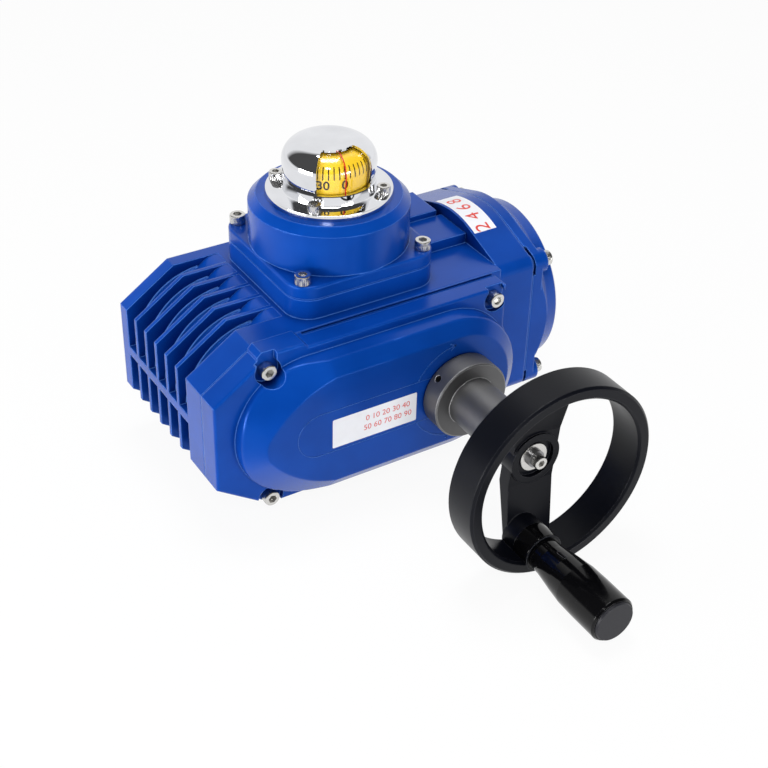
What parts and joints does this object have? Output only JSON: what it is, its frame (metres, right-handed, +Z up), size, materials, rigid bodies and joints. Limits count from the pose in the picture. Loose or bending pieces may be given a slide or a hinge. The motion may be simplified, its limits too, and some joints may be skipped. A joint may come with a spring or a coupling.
{
  "type": "electric valve actuator",
  "caption": "Quarter-turn electric valve actuator with a finned cast body, round terminal end, domed position indicator and side handwheel with a revolving grip.",
  "frame": {"origin": "output axis at the valve mounting face", "axes": "+Z up along the output axis, -Y towards the handwheel, -X towards the finned motor end, +X towards the round terminal end"},
  "size_m": [0.2618, 0.3429, 0.2065],
  "materials": {
    "blue_casting": "satin",
    "stainless": "satin",
    "chromed": "polished",
    "clear_window": "polished",
    "yellow_plastic": "gloss",
    "dark_collar": "satin",
    "black_plastic": "satin",
    "gloss_black": "gloss",
    "grey_plastic": "matte",
    "gear_steel": "machined",
    "bronze": "machined",
    "seal_rubber": "matte",
    "motor_iron": "matte",
    "winding_copper": "satin",
    "plate_aluminium": "machined",
    "switch_black": "matte",
    "switch_red": "matte",
    "board_green": "satin",
    "capacitor_can": "gloss",
    "gland_black": "satin"
  },
  "bodies": {
    "casing": {"housing": "blue_casting", "gear_cover": "blue_casting", "gear_cover_gasket": "seal_rubber", "gear_cover_screws": "stainless", "end_cover": "blue_casting", "end_cover_gasket": "seal_rubber", "end_cover_screws": "stainless", "turret_cover": "blue_casting", "turret_gasket": "seal_rubber", "turret_screws": "stainless", "indicator_bezel": "chromed", "indicator_lens": "clear_window", "bezel_screws": "stainless", "motor_stator": "motor_iron", "motor_windings": "winding_copper", "motor_end_shield": "plate_aluminium", "motor_bearings": "gear_steel", "idler_pins": "gear_steel", "gear_plate": "plate_aluminium", "gear_plate_screws": "stainless", "worm_bearings": "gear_steel", "worm_shaft_seal": "seal_rubber", "lower_bush": "bronze", "base_seal": "seal_rubber", "upper_bush": "bronze", "bearing_plate": "plate_aluminium", "bearing_plate_screws": "stainless", "limit_switches": "switch_black", "switch_screws": "stainless", "terminal_board": "board_green", "board_standoffs": "bronze", "terminal_block": "gland_black", "terminal_screws": "stainless", "capacitor": "capacitor_can", "capacitor_clip": "plate_aluminium", "gland_bodies": "gland_black", "gland_nuts": "gland_black", "gland_seals": "seal_rubber"},
    "output": {"output_shaft": "gear_steel", "worm_wheel": "bronze", "wheel_circlip": "gear_steel", "indicator_drum": "yellow_plastic", "close_cam": "grey_plastic", "open_cam": "switch_red"},
    "worm": {"worm_shaft": "gear_steel", "worm_drive_gear": "gear_steel", "handwheel": "black_plastic", "handwheel_collar": "dark_collar", "collar_grub_screw": "stainless", "wheel_washers": "stainless", "wheel_screw": "stainless", "handle_spindle": "gear_steel"},
    "second_idler": {"second_idler": "gear_steel"},
    "first_idler": {"first_idler": "gear_steel"},
    "rotor": {"motor_shaft": "gear_steel", "motor_rotor": "motor_iron"},
    "grip": {"handle_grip": "gloss_black", "handle_end_cap": "grey_plastic"},
    "close_plunger": {"close_switch_plunger": "switch_red"},
    "open_plunger": {"open_switch_plunger": "switch_red"}
  },
  "joints": [
    {"name": "output_turn", "type": "hinge", "parent": "casing", "child": "output", "pos_m": [0, 0, 0.066], "axis": [0, 0, 1], "range_deg": [0, 90]},
    {"name": "handwheel_turn", "type": "hinge", "parent": "casing", "child": "worm", "pos_m": [0.04, 0, 0.066], "axis": [0, -1, 0], "range_deg": [0, 2520]},
    {"name": "second_idler_turn", "type": "hinge", "parent": "casing", "child": "second_idler", "pos_m": [0.005, -0.07, 0.07443], "axis": [0, 1, 0], "range_deg": [0, 7560]},
    {"name": "first_idler_turn", "type": "hinge", "parent": "casing", "child": "first_idler", "pos_m": [-0.031, -0.07, 0.07443], "axis": [0, -1, 0], "range_deg": [0, 22680]},
    {"name": "motor_turn", "type": "hinge", "parent": "casing", "child": "rotor", "pos_m": [-0.066, 0, 0.066], "axis": [0, 1, 0], "range_deg": [0, 68040]},
    {"name": "grip_spin", "type": "hinge", "parent": "worm", "child": "grip", "pos_m": [0.03083, -0.23, 0.01746], "axis": [0, 1, 0], "continuous": true},
    {"name": "close_plunger_press", "type": "slide", "parent": "casing", "child": "close_plunger", "axis": [1, 0, 0], "range_m": [0, 0.001], "stiffness_N_per_m": 200, "springref_m": -0.0002},
    {"name": "open_plunger_press", "type": "slide", "parent": "casing", "child": "open_plunger", "axis": [1, 0, 0], "range_m": [0, 0.001], "stiffness_N_per_m": 200, "springref_m": -0.0002}
  ],
  "couplings": [
    {"joint": "handwheel_turn", "follows": "output_turn", "ratio": 28},
    {"joint": "second_idler_turn", "follows": "output_turn", "ratio": 84},
    {"joint": "first_idler_turn", "follows": "output_turn", "ratio": 252},
    {"joint": "motor_turn", "follows": "output_turn", "ratio": 756}
  ]
}
